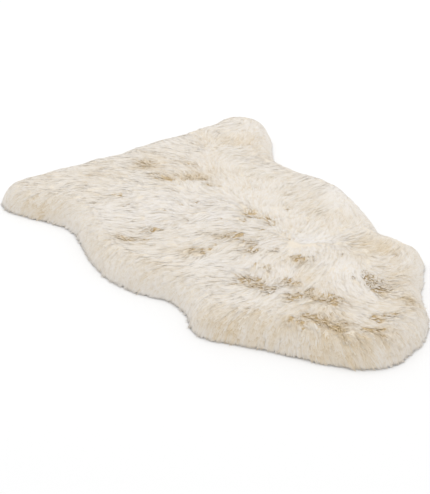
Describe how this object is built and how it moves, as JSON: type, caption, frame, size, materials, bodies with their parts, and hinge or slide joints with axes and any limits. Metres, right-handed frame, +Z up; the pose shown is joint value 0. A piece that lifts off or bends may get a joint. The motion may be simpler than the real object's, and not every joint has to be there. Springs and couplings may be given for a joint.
{
  "type": "sheepskin rug",
  "caption": "Sheepskin rug in the natural outline of a whole skin: a thin tanned hide under a thick, tousled cream fleece that falls to the floor in locks around its rim.",
  "frame": {"origin": "on the floor, under the middle of the rug's box", "axes": "+Z up through the fleece; +Y along the length, towards the forelegs; +X to the right of the skin as seen from above with the forelegs at the top"},
  "size_m": [0.6683, 1.0127, 0.0577],
  "materials": {
    "hide": "suede side of tanned skin, matte",
    "fleece": "long cream wool, ochre at its roots, soft sheen"
  },
  "bodies": {
    "root": {"hide": "hide", "fleece": "fleece"}
  },
  "joints": []
}
